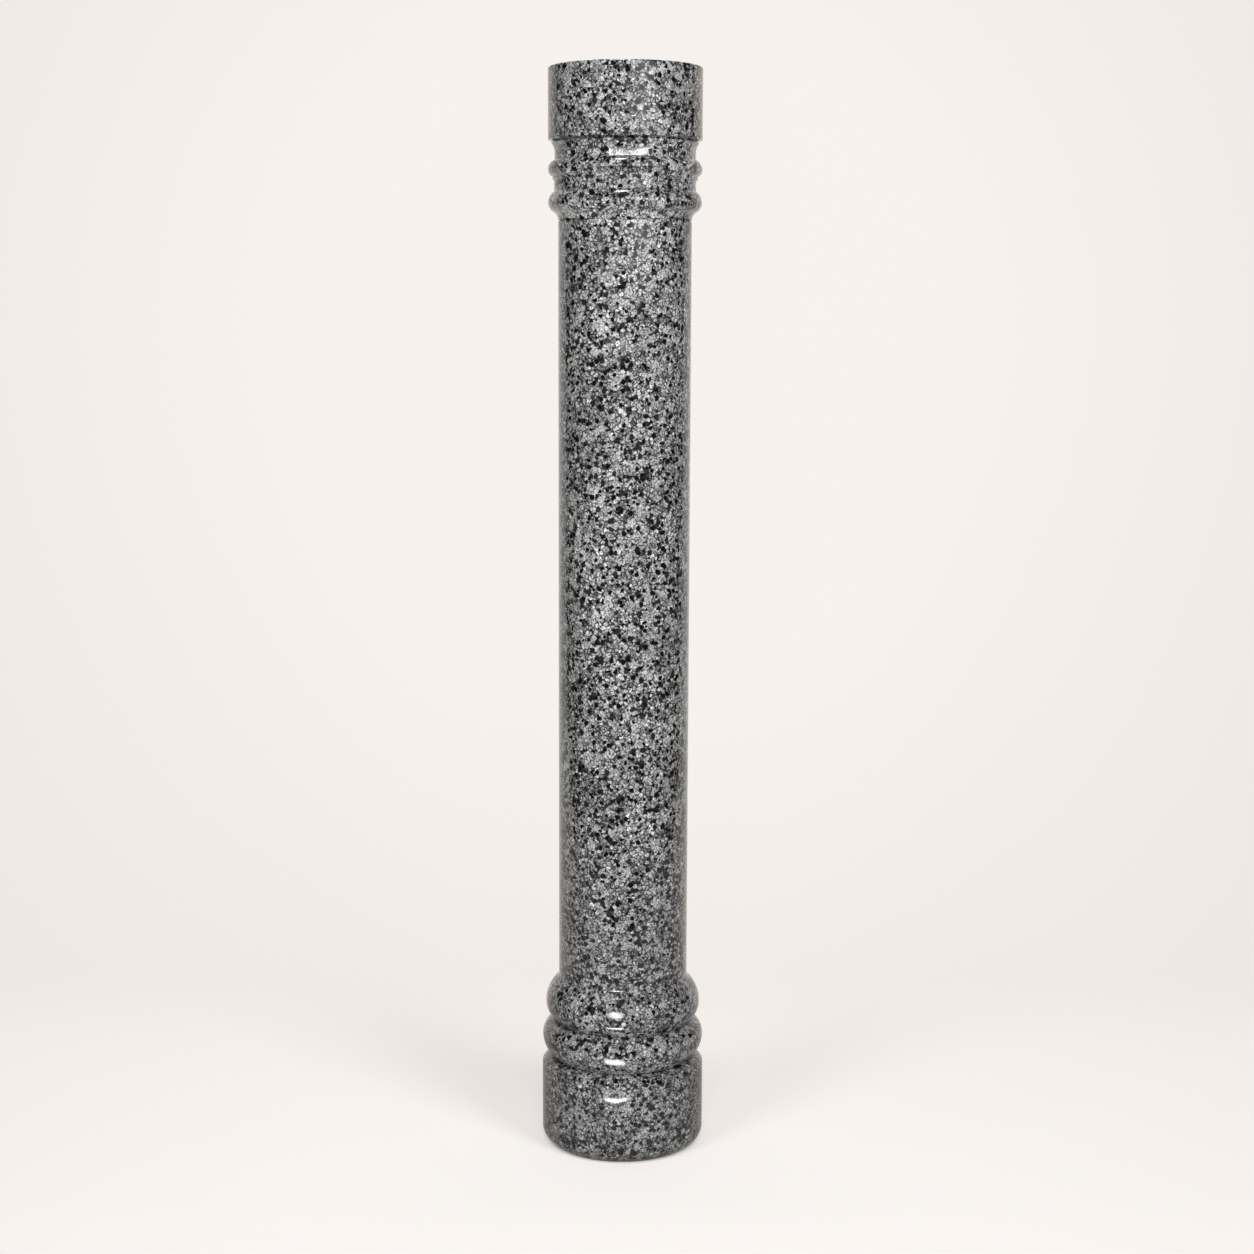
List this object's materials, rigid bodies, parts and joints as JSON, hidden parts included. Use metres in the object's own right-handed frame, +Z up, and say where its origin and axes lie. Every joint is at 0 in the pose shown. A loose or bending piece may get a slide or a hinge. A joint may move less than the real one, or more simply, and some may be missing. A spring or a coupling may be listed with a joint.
{
  "type": "baluster",
  "caption": "Turned round baluster of polished grey speckled granite: plain straight shaft, moulded base block with swelling rings, beaded head and plain top block.",
  "frame": {"origin": "centre of the flat underside, where the baluster stands", "axes": "+Z up along the axis the baluster is turned about; X and Y are level and alike"},
  "size_m": [0.122, 0.122, 0.8],
  "materials": {
    "granite": "polished grey granite with black, grey and white grains"
  },
  "bodies": {
    "root": {"baluster": "granite"}
  },
  "joints": []
}
